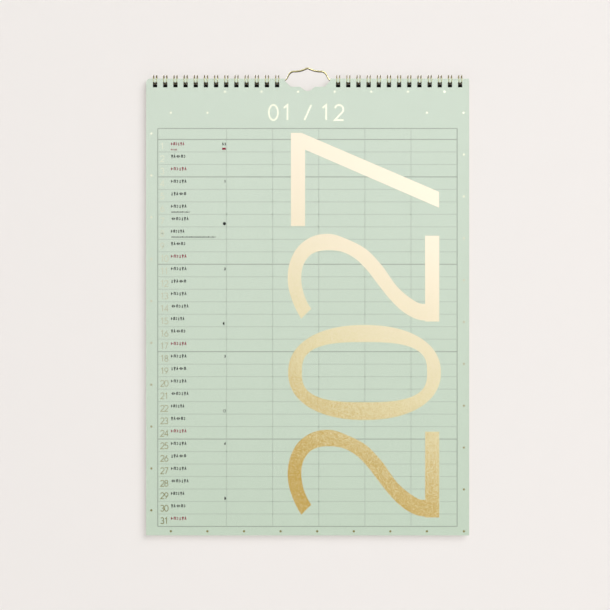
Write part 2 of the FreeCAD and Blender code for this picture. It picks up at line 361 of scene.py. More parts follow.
def word_patches(left, top, length, height, width):
    """Strokes that stand for a printed word: uprights, bars, peaks and arches side by side,
    with no letter among them. The word's length picks the first one."""
    forms = (
        ([(0, 0), (0, 1)], [(0, 0.5), (1, 0.5)]),
        ([(0, 1), (0.5, 0), (1, 1)],),
        ([(0.5, 0), (0.5, 1)], [(0, 1), (1, 1)]),
        ([(0, 1), (0, 0.2), (0.25, 0), (0.75, 0), (1, 0.2), (1, 1)],),
        ([(1, 0), (1, 1)], [(0, 0.5), (1, 0.5)]),
        ([(0, 0), (0.5, 1), (1, 0)], [(0, 0), (1, 0)]),
        ([(0, 0), (1, 0.4)], [(0, 1), (1, 0.6)]),
    )
    count = max(int(round(length / (height * 0.72))), 1)
    pitch = length / count
    corner = np.array([left + width / 2, top + width / 2])
    span = np.array([pitch * 0.82 - width, height - width])
    first = int(length / (0.1 * MM))
    patches = []
    for place in range(count):
        for path in forms[(first + place * 3) % len(forms)]:
            patches.append(stroke(corner + (place * pitch, 0) + np.array(path) * span, width))
    return patches


def add_node(tree, kind, inputs=None, **settings):
    """Adds a node, sets its settings, and sets or links its inputs."""
    node = tree.nodes.new(kind)
    for name, value in settings.items():
        setattr(node, name, value)
    for socket, value in (inputs or {}).items():
        if isinstance(value, bpy.types.NodeSocket):
            tree.links.new(value, node.inputs[socket])
        else:
            node.inputs[socket].default_value = value
    return node


def new_material(name):
    """A material with an empty node tree, and that tree."""
    material = bpy.data.materials.new(name)
    material.use_nodes = True
    tree = material.node_tree
    tree.nodes.clear()
    return material, tree


def lacquered_wire(name, dark, pale, share):
    """Lacquered steel wire.

    Drawn steel under a clear tinted lacquer: a smooth bright metal whose gloss wavers a little
    along the wire, where the lacquer is thicker. share says where the pale colour shows: it is
    painted light, a painted highlight on the combs' loops and a painted lit top on the hanger.
    In front of the sheets, the lowest part of each loop is darkened as painted shade of its
    punched hole.
    """
    material, tree = new_material(name)
    place = add_node(tree, "ShaderNodeTexCoord")
    # Lacquer runs and drawing marks of about 2.5 mm.
    runs = add_node(tree, "ShaderNodeTexNoise",
                    {"Vector": place.outputs["Object"], "Scale": 1 / (2.5 * MM), "Detail": 3.0})
    gloss = add_node(tree, "ShaderNodeMapRange",
                     {"Value": runs.outputs["Fac"], "To Min": 0.15, "To Max": 0.27})
    tone = add_node(tree, "ShaderNodeMix",
                    {0: share(tree, place), 6: paint(dark), 7: paint(pale)}, data_type="RGBA")
    level = add_node(tree, "ShaderNodeMapRange",
                     {"Value": runs.outputs["Fac"], "To Min": 0.85, "To Max": 1.08})
    parts = add_node(tree, "ShaderNodeSeparateXYZ", {"Vector": place.outputs["Object"]})
    # Painted shade: in front of the sheets the wire is darkened below the holes' top edge.
    painted_hole_shade = add_node(tree, "ShaderNodeMapRange",
                    {"Value": parts.outputs["Z"],
                     "From Min": SHEET_TOP - 4.0 * MM,
                     "From Max": SHEET_TOP - 3.2 * MM,
                     "To Min": 0.93, "To Max": 0.0})
    ahead = add_node(tree, "ShaderNodeMath",
                     {0: parts.outputs["Y"], 1: -1.5 * MM}, operation="LESS_THAN")
    shade = add_node(tree, "ShaderNodeMath",
                     {0: painted_hole_shade.outputs["Result"], 1: ahead.outputs[0]}, operation="MULTIPLY")
    lit = add_node(tree, "ShaderNodeMath", {0: 1.0, 1: shade.outputs[0]}, operation="SUBTRACT")
    amount = add_node(tree, "ShaderNodeMath",
                      {0: level.outputs["Result"], 1: lit.outputs[0]}, operation="MULTIPLY")
    lacquer = add_node(tree, "ShaderNodeVectorMath",
                       {0: tone.outputs[2], "Scale": amount.outputs[0]}, operation="SCALE")
    shader = add_node(tree, "ShaderNodeBsdfPrincipled",
                      {"Base Color": lacquer.outputs[0], "Metallic": 1.0,
                       "Roughness": gloss.outputs["Result"]})
    add_node(tree, "ShaderNodeOutputMaterial", {"Surface": shader.outputs["BSDF"]})
    return material


def rubbed_front(tree, place):
    """One where the loops lie over the sheets' top edge, as a painted highlight, and none at
    their crowns and in the holes: it falls off with the height's distance from there."""
    parts = add_node(tree, "ShaderNodeSeparateXYZ", {"Vector": place.outputs["Object"]})
    above = add_node(tree, "ShaderNodeMath",
                     {0: parts.outputs["Z"], 1: SHEET_TOP - 1.8 * MM},
                     operation="SUBTRACT")
    away = add_node(tree, "ShaderNodeMath", {0: above.outputs[0]}, operation="ABSOLUTE")
    share = add_node(tree, "ShaderNodeMapRange",
                     {"Value": away.outputs[0], "From Min": 0.8 * MM, "From Max": 2.0 * MM,
                      "To Min": 1.0, "To Max": 0.0}, interpolation_type="SMOOTHSTEP")
    return share.outputs["Result"]


def upper_side(tree, place):
    """One on the wire's upper side, as painted light from above, and none below, as painted
    shade that stands for the dark sheets mirrored there.
    """
    facing = add_node(tree, "ShaderNodeSeparateXYZ", {"Vector": place.outputs["Normal"]})
    share = add_node(tree, "ShaderNodeMapRange",
                     {"Value": facing.outputs["Z"], "From Min": -0.25, "From Max": 0.2},
                     interpolation_type="SMOOTHSTEP")
    return share.outputs["Result"]


def paper_tint(tree, parts):
    """The paper's mint colour, which goes evenly from one at the foot to another at the top: the
    darker foot is painted shade, for light that falls off downwards.
    """
    colours = bpy.context.scene.calendar_colours
    height = add_node(tree, "ShaderNodeMapRange",
                      {"Value": parts.outputs["Z"], "From Min": SHEET_FOOT,
                       "From Max": SHEET_TOP})
    colour = add_node(tree, "ShaderNodeMix",
                      {0: height.outputs["Result"], 6: paint(colours.paper_bottom),
                       7: paint(colours.paper_top)}, data_type="RGBA")
    return colour.outputs[2]


def hole_rows(tree, parts, middle, reach):
    """One in a strip along the two rows of holes, which reaches up and down from a middle
    height, and none elsewhere."""
    level = add_node(tree, "ShaderNodeMath",
                     {0: parts.outputs["Z"], 1: middle, 2: reach}, operation="COMPARE")
    aside = add_node(tree, "ShaderNodeMath", {0: parts.outputs["X"]}, operation="ABSOLUTE")
    in_row = add_node(tree, "ShaderNodeMath",
                      {0: aside.outputs[0], 1: HOLES_MIDDLE, 2: HOLES_REACH},
                      operation="COMPARE")
    both = add_node(tree, "ShaderNodeMath",
                    {0: level.outputs[0], 1: in_row.outputs[0]}, operation="MULTIPLY")
    return both.outputs[0]


def mint_paper():
    """Uncoated mint printed paper.

    An even tint that is a little darker towards the foot, as painted shade for light that falls
    off downwards, on a matt fibrous sheet. The walls of the punched holes are painted near-black
    as shade. The cut edges show the stack, sheet by sheet, as fine pale stripes.
    """
    material, tree = new_material("uncoated_mint_paper")
    place = add_node(tree, "ShaderNodeTexCoord")
    parts = add_node(tree, "ShaderNodeSeparateXYZ", {"Vector": place.outputs["Object"]})
    # Paper fibres are near 0.02 mm wide. They are drawn as clouds of 1.2 mm, which can show.
    fibres = add_node(tree, "ShaderNodeTexNoise",
                      {"Vector": place.outputs["Object"], "Scale": 1 / (1.2 * MM), "Detail": 5.0,
                       "Roughness": 0.7})
    clouds = add_node(tree, "ShaderNodeMapRange",
                      {"Value": fibres.outputs["Fac"], "To Min": 0.992, "To Max": 1.008})
    sheet = add_node(tree, "ShaderNodeVectorMath",
                     {0: paper_tint(tree, parts), "Scale": clouds.outputs["Result"]},
                     operation="SCALE")
    # The sheets are 0.125 mm thick, so twelve stripes show across the edge.
    count = add_node(tree, "ShaderNodeMath",
                     {0: parts.outputs["Y"], 1: 1 / (0.125 * MM)}, operation="MULTIPLY")
    within = add_node(tree, "ShaderNodeMath", {0: count.outputs[0]}, operation="FRACT")
    crease = add_node(tree, "ShaderNodeMath",
                      {0: within.outputs[0], 1: 0.8}, operation="GREATER_THAN")
    edge = add_node(tree, "ShaderNodeMix",
                    {0: crease.outputs[0], 6: paint(linear("#E4E8DF")),
                     7: paint(linear("#9FAC9B"))}, data_type="RGBA")
    # The punched holes lie 3 to 9 mm below the top edge. Their walls are painted near-black as
    # the stack's shade.
    cut = add_node(tree, "ShaderNodeMix",
                   {0: hole_rows(tree, parts, SHEET_TOP - 6 * MM, 3.2 * MM),
                    6: edge.outputs[2], 7: paint(linear("#1E211D"))}, data_type="RGBA")
    facing = add_node(tree, "ShaderNodeSeparateXYZ", {"Vector": place.outputs["Normal"]})
    depth = add_node(tree, "ShaderNodeMath", {0: facing.outputs["Y"]}, operation="ABSOLUTE")
    is_face = add_node(tree, "ShaderNodeMath",
                       {0: depth.outputs[0], 1: 0.5}, operation="GREATER_THAN")
    colour = add_node(tree, "ShaderNodeMix",
                      {0: is_face.outputs[0], 6: cut.outputs[2], 7: sheet.outputs[0]},
                      data_type="RGBA")
    relief = add_node(tree, "ShaderNodeBump",
                      {"Height": fibres.outputs["Fac"], "Strength": 0.03,
                       "Distance": 0.05 * MM})
    shader = add_node(tree, "ShaderNodeBsdfPrincipled",
                      {"Base Color": colour.outputs[2], "Roughness": 0.85, "IOR": 1.45,
                       "Specular IOR Level": 0.25, "Normal": relief.outputs["Normal"]})
    add_node(tree, "ShaderNodeOutputMaterial", {"Surface": shader.outputs["BSDF"]})
    return material


def grey_board():
    """Uncoated grey board.

    Pressed waste paper: a warm grey with pale and dark flecks of fibre and a dull surface.
    """
    colours = bpy.context.scene.calendar_colours
    material, tree = new_material("uncoated_grey_board")
    place = add_node(tree, "ShaderNodeTexCoord")
    # Flecks of fibre 0.6 mm across, and slow clouds of 25 mm from the pressing.
    flecks = add_node(tree, "ShaderNodeTexNoise",
                      {"Vector": place.outputs["Object"], "Scale": 1 / (0.6 * MM),
                       "Detail": 6.0, "Roughness": 0.75})
    clouds = add_node(tree, "ShaderNodeTexNoise",
                      {"Vector": place.outputs["Object"], "Scale": 1 / (25 * MM),
                       "Detail": 3.0})
    both = add_node(tree, "ShaderNodeMath",
                    {0: flecks.outputs["Fac"], 1: clouds.outputs["Fac"]}, operation="ADD")
    level = add_node(tree, "ShaderNodeMapRange",
                     {"Value": both.outputs[0], "From Min": 0.7, "From Max": 1.3,
                      "To Min": 0.96, "To Max": 1.04})
    colour = add_node(tree, "ShaderNodeVectorMath",
                      {0: colours.board, "Scale": level.outputs["Result"]}, operation="SCALE")
    relief = add_node(tree, "ShaderNodeBump",
                      {"Height": flecks.outputs["Fac"], "Strength": 0.3, "Distance": 0.1 * MM})
    shader = add_node(tree, "ShaderNodeBsdfPrincipled",
                      {"Base Color": colour.outputs[0], "Roughness": 0.92, "IOR": 1.45,
                       "Specular IOR Level": 0.2, "Normal": relief.outputs["Normal"]})
    add_node(tree, "ShaderNodeOutputMaterial", {"Surface": shader.outputs["BSDF"]})
    return material


def clear_film():
    """Clear polyester film.

    A thin glossy sheet that is nearly not there: it veils the print a little and takes a soft
    reflection.
    """
    colours = bpy.context.scene.calendar_colours
    material, tree = new_material("clear_polyester_film")
    place = add_node(tree, "ShaderNodeTexCoord")
    # Rolled film is slightly wavy over some 40 mm.
    waves = add_node(tree, "ShaderNodeTexNoise",
                     {"Vector": place.outputs["Object"], "Scale": 1 / (40 * MM), "Detail": 1.0})
    relief = add_node(tree, "ShaderNodeBump",
                      {"Height": waves.outputs["Fac"], "Strength": 0.1, "Distance": 0.2 * MM})
    # Seen through its cut edge, the film is long to look through, so it is denser there.
    facing = add_node(tree, "ShaderNodeSeparateXYZ", {"Vector": place.outputs["Normal"]})
    depth = add_node(tree, "ShaderNodeMath", {0: facing.outputs["Y"]}, operation="ABSOLUTE")
    body = add_node(tree, "ShaderNodeMapRange",
                    {"Value": depth.outputs[0], "From Min": 0.4, "From Max": 0.6,
                     "To Min": 0.5, "To Max": 0.025})
    shader = add_node(tree, "ShaderNodeBsdfPrincipled",
                      {"Base Color": paint(colours.film), "Roughness": 0.12, "IOR": 1.57,
                       "Alpha": body.outputs["Result"], "Normal": relief.outputs["Normal"]})
    add_node(tree, "ShaderNodeOutputMaterial", {"Surface": shader.outputs["BSDF"]})
    return material


def offset_ink(name, colour):
    """Offset ink in uncoated paper.

    The ink sinks in, so it is matt, and the fibres make its tone uneven by a twelfth.
    """
    material, tree = new_material(name)
    place = add_node(tree, "ShaderNodeTexCoord")
    # Ink follows the fibres, drawn as clouds of 0.8 mm.
    fibres = add_node(tree, "ShaderNodeTexNoise",
                      {"Vector": place.outputs["Object"], "Scale": 1 / (0.8 * MM),
                       "Detail": 4.0})
    level = add_node(tree, "ShaderNodeMapRange",
                     {"Value": fibres.outputs["Fac"], "To Min": 0.92, "To Max": 1.08})
    tone = add_node(tree, "ShaderNodeVectorMath",
                    {0: tuple(colour), "Scale": level.outputs["Result"]}, operation="SCALE")
    shader = add_node(tree, "ShaderNodeBsdfPrincipled",
                      {"Base Color": tone.outputs[0], "Roughness": 0.8, "IOR": 1.45,
                       "Specular IOR Level": 0.25})
    add_node(tree, "ShaderNodeOutputMaterial", {"Surface": shader.outputs["BSDF"]})
    return material


def sheer_ink(name, share):
    """Sheer printing ink for the ruled lines.

    It lets the paper's tint through, so a line is the paper's colour at a share of its
    brightness, from the top of the sheet to the foot, with the paper's painted shade at the foot.
    """
    material, tree = new_material(name)
    place = add_node(tree, "ShaderNodeTexCoord")
    parts = add_node(tree, "ShaderNodeSeparateXYZ", {"Vector": place.outputs["Object"]})
    # A litho screen is too fine to show. The line's weight wavers over 3 mm instead.
    waver = add_node(tree, "ShaderNodeTexNoise",
                     {"Vector": place.outputs["Object"], "Scale": 1 / (3 * MM)})
    level = add_node(tree, "ShaderNodeMapRange",
                     {"Value": waver.outputs["Fac"], "To Min": share * 0.94,
                      "To Max": share * 1.06})
    tone = add_node(tree, "ShaderNodeVectorMath",
                    {0: paper_tint(tree, parts), "Scale": level.outputs["Result"]},
                    operation="SCALE")
    shader = add_node(tree, "ShaderNodeBsdfPrincipled",
                      {"Base Color": tone.outputs[0], "Roughness": 0.8, "IOR": 1.45,
                       "Specular IOR Level": 0.25})
    add_node(tree, "ShaderNodeOutputMaterial", {"Surface": shader.outputs["BSDF"]})
    return material


def page_foil(name, upper, lower, bend):
    """Hot-stamped foil on paper.

    A thin bright metal skin over the paper's grain. It goes from one colour at the top of the
    sheet to another at the foot, a painted reflection of a bright light above; bend says how late
    it turns.
    """
    material, tree = new_material(name)
    place = add_node(tree, "ShaderNodeTexCoord")
    parts = add_node(tree, "ShaderNodeSeparateXYZ", {"Vector": place.outputs["Object"]})
    # Painted reflection: the foil is paler towards the top of the sheet.
    height = add_node(tree, "ShaderNodeMapRange",
                      {"Value": parts.outputs["Z"], "From Min": SHEET_TOP - 0.06,
                       "From Max": SHEET_FOOT})
    fall = add_node(tree, "ShaderNodeMath",
                    {0: height.outputs["Result"], 1: bend}, operation="POWER")
    # The paper's grain shows through the foil as dints of 0.9 mm.
    grain = add_node(tree, "ShaderNodeTexNoise",
                     {"Vector": place.outputs["Object"], "Scale": 1 / (0.9 * MM),
                      "Detail": 3.0})
    colour = add_node(tree, "ShaderNodeMix",
                      {0: fall.outputs[0], 6: paint(upper), 7: paint(lower)},
                      data_type="RGBA")
    relief = add_node(tree, "ShaderNodeBump",
                      {"Height": grain.outputs["Fac"], "Strength": 0.3, "Distance": 0.1 * MM})
    shader = add_node(tree, "ShaderNodeBsdfPrincipled",
                      {"Base Color": colour.outputs[2], "Metallic": 1.0, "Roughness": 0.35,
                       "Normal": relief.outputs["Normal"]})
    add_node(tree, "ShaderNodeOutputMaterial", {"Surface": shader.outputs["BSDF"]})
    return material


def film_foil():
    """Hot-stamped gold foil on film.

    Bright metal that goes from cream at the top and the right to gold at the lower left, where a
    fine hammered grain breaks up the reflection. The cream is a painted reflection of a soft
    light above and to the right.
    """
    colours = bpy.context.scene.calendar_colours
    material, tree = new_material("gold_foil_on_film")
    place = add_node(tree, "ShaderNodeTexCoord")
    parts = add_node(tree, "ShaderNodeSeparateXYZ", {"Vector": place.outputs["Object"]})
    # The tone is a painted reflection. It follows the drop below the hook less 0.57 of the place
    # to the right.
    slant = add_node(tree, "ShaderNodeMath",
                     {0: parts.outputs["X"], 1: -0.57}, operation="MULTIPLY")
    drop = add_node(tree, "ShaderNodeMath",
                    {0: slant.outputs[0], 1: parts.outputs["Z"]}, operation="SUBTRACT")
    reach = add_node(tree, "ShaderNodeMapRange",
                     {"Value": drop.outputs[0], "From Min": 0.067, "From Max": 0.381})
    turn = add_node(tree, "ShaderNodeMath",
                    {0: reach.outputs["Result"], 1: 1.5}, operation="POWER")
    # The hammered grain is 0.7 mm. It shows where the foil has turned to gold, and there it
    # breaks the painted reflection into flecks.
    grain = add_node(tree, "ShaderNodeTexNoise",
                     {"Vector": place.outputs["Object"], "Scale": 1 / (0.7 * MM),
                      "Detail": 2.0, "Roughness": 0.6})
    fleck = add_node(tree, "ShaderNodeMapRange",
                     {"Value": grain.outputs["Fac"], "From Min": 0.35, "From Max": 0.65,
                      "To Min": -0.38, "To Max": 0.38})
    shown = add_node(tree, "ShaderNodeMapRange",
                     {"Value": turn.outputs[0], "From Min": 0.05, "From Max": 0.9})
    speckle = add_node(tree, "ShaderNodeMath",
                       {0: fleck.outputs["Result"], 1: shown.outputs["Result"]},
                       operation="MULTIPLY")
    total = add_node(tree, "ShaderNodeMath",
                     {0: turn.outputs[0], 1: speckle.outputs[0]}, operation="ADD",
                     use_clamp=True)
    early = add_node(tree, "ShaderNodeMapRange",
                     {"Value": total.outputs[0], "From Max": 0.5})
    late = add_node(tree, "ShaderNodeMapRange",
                    {"Value": total.outputs[0], "From Min": 0.5})
    straw = add_node(tree, "ShaderNodeMix",
                     {0: early.outputs["Result"], 6: paint(colours.foil_pale),
                      7: paint(colours.foil_straw)}, data_type="RGBA")
    colour = add_node(tree, "ShaderNodeMix",
                      {0: late.outputs["Result"], 6: straw.outputs[2],
                       7: paint(colours.foil_gold)}, data_type="RGBA")
    relief = add_node(tree, "ShaderNodeBump",
                      {"Height": grain.outputs["Fac"], "Strength": 0.4,
                       "Distance": 0.12 * MM})
    shader = add_node(tree, "ShaderNodeBsdfPrincipled",
                      {"Base Color": colour.outputs[2], "Metallic": 1.0, "Roughness": 0.3,
                       "Normal": relief.outputs["Normal"]})
    add_node(tree, "ShaderNodeOutputMaterial", {"Surface": shader.outputs["BSDF"]})
    return material


def give_finish(node, material):
    """Puts the material in every slot of a node of the frame."""
    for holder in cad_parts[node].material_slots:
        holder.material = material


class CALENDAR_OT_wires(bpy.types.Operator):
    """Finishes the wire combs and the hanger"""

    bl_idname = "calendar.finish_wires"
    bl_label = "Finish the wires"

    def execute(self, context):
        colours = context.scene.calendar_colours
        # The combs' pale band is a painted highlight.
        olive = lacquered_wire("olive_lacquered_steel", colours.combs, colours.rubbed,
                               rubbed_front)
        # The hanger's two colours are painted light on its top and painted shade below.
        champagne = lacquered_wire("champagne_lacquered_steel", colours.underside,
                                   colours.hanger, upper_side)
        for node in COMBS:
            give_finish(node, olive)
        give_finish("hanger_wire", champagne)
        wires = [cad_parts[node] for node in COMBS]
        wires.append(self.bend_hanger(champagne, context.scene.calendar_sizes.hanger_fullness))
        # The wires stand too close to the sheets for their shadows to show.
        for wire in wires:
            wire.visible_shadow = False
            wire.visible_diffuse = False
        return {"FINISHED"}

    def bend_hanger(self, finish, fullness):
        """The hanger's wire: a soft wave over the cut-out, where it is drawn a little thicker,
        and straight arms behind the sheets.

        It runs smoothly through the listed points. Its radius grows by the fullness, along the
        cubic 3t^2 - 2t^3, on the 3 mm up to 15.5 mm from the middle.
        """
        low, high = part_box("hanger_wire")
        thin = (high[1] - low[1]) / 2
        arm = low[2] + thin
        tip = high[0]
        wave = np.array([(0, 0.95), (2.8, -0.05), (6.3, -1.3), (10.4, -1.95), (14.2, -2.25),
                         (16.4, -3.7), (18.1, -6.7), (19.6, -9.2), (21.4, -10.3)]) * MM
        straight = np.array([(23.5 * MM, arm), (34 * MM, arm), (66 * MM, arm), (tip, arm)])
        right = np.vstack([wave, straight])
        left = right[:0:-1] * (-1, 1)
        path = smooth_line(np.vstack([left, right]), 420)
        near = np.clip((18.5 * MM - np.abs(path[:, 0])) / (3 * MM), 0, 1)
        radius = thin + fullness * near ** 2 * (3 - 2 * near)
        piece = add_piece("hanger_bow", wire_mesh("hanger_bow", path, radius), finish, "hanger")
        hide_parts("hanger_wire")
        return piece


class CALENDAR_OT_sheets(bpy.types.Operator):
    """Finishes the month pages, the back board and the clear cover"""

    bl_idname = "calendar.finish_sheets"
    bl_label = "Finish the sheets"

    def execute(self, context):
        give_finish("month_pages", mint_paper())
        give_finish("back_board", grey_board())
        give_finish("front_cover", clear_film())
        return {"FINISHED"}


class CALENDAR_OT_table(bpy.types.Operator):
    """Prints the ruled table: one row a day, and columns to write in"""

    bl_idname = "calendar.print_table"
    bl_label = "Print the table"

    def execute(self, context):
        sizes = context.scene.calendar_sizes
        wide = sizes.rule_width
        face = PAGE_FACE - sizes.ink_lift
        left = sizes.table_left
        right = sizes.first_column + COLUMNS * sizes.column_width
        foot = sizes.table_top + DAYS * sizes.row_height
        strong = [box_patch(left, sizes.header_top - wide / 2, right - left, wide),
                  box_patch(left, sizes.table_top - wide / 2, right - left, wide),
                  box_patch(left - wide / 2, sizes.header_top, wide, foot - sizes.header_top),
                  box_patch(right - wide / 2, sizes.header_top, wide, foot - sizes.header_top)]
        faint = []
        for day in range(1, DAYS + 1):
            level = sizes.table_top + day * sizes.row_height
            is_week_end = day % WEEK == FIRST_SUNDAY
            row = box_patch(left, level - wide / 2, right - left, wide)
            (strong if is_week_end else faint).append(row)
        for column in range(COLUMNS):
            place = sizes.first_column + column * sizes.column_width
            faint.append(box_patch(place - wide / 2, sizes.header_top, wide,
                                   foot - sizes.header_top))
        print_piece("table_rules", strong, face, sheer_ink("sheer_ink_strong", 0.6))
        # The fine rules lie 0.01 mm deeper, so that they never lie in the strong ones.
        print_piece("table_hairlines", faint, face + 0.01 * MM,
                    sheer_ink("sheer_ink_faint", 0.84))
        return {"FINISHED"}


class CALENDAR_OT_dates(bpy.types.Operator):
    """Stamps the foil date numerals, the month's numerals and the foil dots"""

    bl_idname = "calendar.stamp_dates"
    bl_label = "Stamp the dates and dots"

    def execute(self, context):
        sizes = context.scene.calendar_sizes
        colours = context.scene.calendar_colours
        face = PAGE_FACE - sizes.ink_lift
        dates = []
        for day in range(1, DAYS + 1):
            top = sizes.table_top + (day - 1) * sizes.row_height + sizes.date_drop
            dates += numeral_patches(str(day), sizes.date_left, top, sizes.date_height,
                                     sizes.date_stroke, sizes.date_pitch)
        title = []
        for text, left in (("01", 112.0), ("/", 144.0), ("12", 160.0)):
            title += numeral_patches(text, left * MM, sizes.title_top, sizes.title_height,
                                     sizes.title_stroke, sizes.title_pitch)
        date_foil = page_foil("foil_on_paper_dates", colours.date_pale, colours.date_gold, 1.0)
        foil = page_foil("foil_on_paper", colours.title_pale, colours.title_gold, 0.9)
        print_piece("date_numerals", dates, face, date_foil)
        print_piece("month_numerals", title, face, foil)
        print_piece("foil_dots", self.dot_patches(sizes), face, foil)
        return {"FINISHED"}

    def dot_patches(self, sizes):
        """The foil dots: two rows above the table, one down each side and one at the foot."""
        across = sizes.dot_pitch
        down = sizes.dot_drop
        first_row = 12.05 * MM
        second_row = 31.36 * MM
        inset = 22.7 * MM
        middles = [(5.15 * MM + across * place, first_row) for place in range(2, 9)]
        middles += [(inset + across * place, second_row) for place in (0, 1, 7, 8)]
        middles += [(4.8 * MM, first_row + down * place) for place in range(1, 11)]
        middles += [(292.2 * MM, second_row + down * place) for place in range(1, 11)]
        middles += [(inset + across * place, second_row + down * 10) for place in range(8)]
        return [disc(middle, sizes.dot_size / 2) for middle in middles]


class CALENDAR_OT_marks(bpy.types.Operator):
    """Prints the weekday marks, the notes, the week numbers and the moons"""

    bl_idname = "calendar.print_marks"
    bl_label = "Print the marks"

    def execute(self, context):
        sizes = context.scene.calendar_sizes
        colours = context.scene.calendar_colours
        face = PAGE_FACE - sizes.ink_lift
        row = sizes.row_height
        # The marks' lengths in millimetres, from the first day's.
        lengths = (12.6, 13.8, 14.7, 14.7, 14.25, 14.7, 16.55)
        dark = []
        red = []
        for day in range(1, DAYS + 1):
            top = sizes.table_top + (day - 1) * row + sizes.mark_drop
            word = word_patches(sizes.mark_left, top, lengths[(day - 1) % WEEK] * MM,
                                sizes.mark_height, sizes.mark_stroke)
            rests = day == 1 or day % WEEK == FIRST_SUNDAY
            (red if rests else dark).extend(word)
        for day, length, ink in ((1, 5.9, red), (6, 17.2, dark), (8, 41.0, dark)):
            top = sizes.table_top + (day - 1) * row + sizes.note_drop
            ink.extend(word_patches(sizes.mark_left, top, length * MM, sizes.note_height,
                                    sizes.note_stroke))
        for day, week in ((1, "53"), (4, "1"), (11, "2"), (18, "3"), (25, "4")):
            top = sizes.table_top + (day - 1) * row + 3.0 * MM
            left = 73.4 * MM - 1.8 * MM * len(week)
            dark += numeral_patches(week, left, top, 2.5 * MM, 0.6 * MM, 1.9 * MM)
        red.append(box_patch(69.9 * MM, sizes.table_top + 7.6 * MM, 3.4 * MM, 2.0 * MM))
        dark += self.moon_patches(sizes.moon_left, sizes.moon_radius)
        print_piece("dark_marks", dark, face, offset_ink("dark_green_ink", colours.ink))
        print_piece("red_marks", red, face, offset_ink("crimson_ink", colours.red))
        return {"FINISHED"}

    def moon_patches(self, left, radius):
        """The moons down the column: a full one, two halves and a ring."""
        ring = arc((left, 305.5 * MM), (1.15 * MM, 1.15 * MM), 0, 360, 25)
        return [disc((left, 133.4 * MM), radius), disc((left, 225.2 * MM), radius, 90, 270),
                disc((left, 386.0 * MM), radius, -90, 90), stroke(ring, 0.4 * MM)]


def year_seven():
    """The seven: its bar and its stem, as a band between the figure's outer and inner edges."""
    outer = [(133.2, 135.7), (133.2, 50.0), (142.9, 50.0), (269.3, 104.2)]
    inner = [(146.2, 135.7), (146.2, 65.4), (146.2, 65.4), (269.3, 118.7)]
    return [band(np.array(outer) * MM, np.array(inner) * MM)]


def year_two(drop):
    """The two: its bow and diagonal as a band between two smooth edges, and its foot. The lower
    one is the upper one moved down by the drop."""
    outer = smooth_line(
        [(142.7, 220.8), (135.0, 206.0), (130.3, 187.5), (131.6, 171.0), (139.0, 155.5),
         (152.0, 145.6), (169.4, 142.8), (185.8, 148.1), (202.3, 156.9), (214.8, 169.5),
         (234.2, 194.7), (243.9, 202.4), (251.6, 206.7), (256.5, 207.2)], 72)
    inner = smooth_line(
        [(151.9, 211.6), (147.1, 203.3), (144.2, 194.7), (142.7, 183.0), (145.1, 170.4),
         (151.9, 161.7), (159.6, 158.6), (169.4, 157.9), (179.9, 159.3), (191.6, 165.1),
         (203.2, 176.3), (212.9, 188.8), (224.5, 203.3), (237.0, 215.0), (248.7, 221.2),
         (256.5, 222.6)], 72)
    foot = box_patch(256.5 * MM, 144.5 * MM, 13.0 * MM, 78.9 * MM)
    return [band(outer * MM, inner * MM) + (0, drop), foot + (0, drop)]


def year_nought():
    """The nought: a band between two closed curves.

    Across and down follow cosine and sine, each raised to two over the curve's squareness.
    """
    turn = np.linspace(0, 2 * np.pi, 97)
    edges = []
    for across, down, square, middle in ((70.25, 43.7, 2.2, 270.2), (57.5, 27.6, 2.9, 269.9)):
        cosine = np.sign(np.cos(turn)) * np.abs(np.cos(turn)) ** (2 / square)
        sine = np.sign(np.sin(turn)) * np.abs(np.sin(turn)) ** (2 / square)
        edges.append(np.stack([200.8 + across * cosine, middle + down * sine], axis=-1) * MM)
    return [band(edges[0], edges[1])]


class CALENDAR_OT_year(bpy.types.Operator):
    """Stamps the year's large foil numerals on the clear cover, turned a quarter"""

    bl_idname = "calendar.stamp_year"
    bl_label = "Stamp the year"

    def execute(self, context):
        thick = context.scene.calendar_sizes.foil_thickness
        foil = film_foil()
        figures = {
            "year_figure_1": year_two(180.1 * MM),
            "year_figure_2": year_nought(),
            "year_figure_3": year_two(0),
            "year_figure_4": year_seven(),
        }
        for name, patches in figures.items():
            piece = print_piece(name, patches, FILM_FACE - thick, foil, "cover")
            skin = piece.modifiers.new("foil thickness", "SOLIDIFY")
            # The foil's back stays just clear of the film.
            skin.thickness = thick * 0.9
            skin.offset = -1
            # The cover lies on the page, so its foil throws no shadow there.
            piece.visible_shadow = False
            piece.visible_diffuse = False
        return {"FINISHED"}


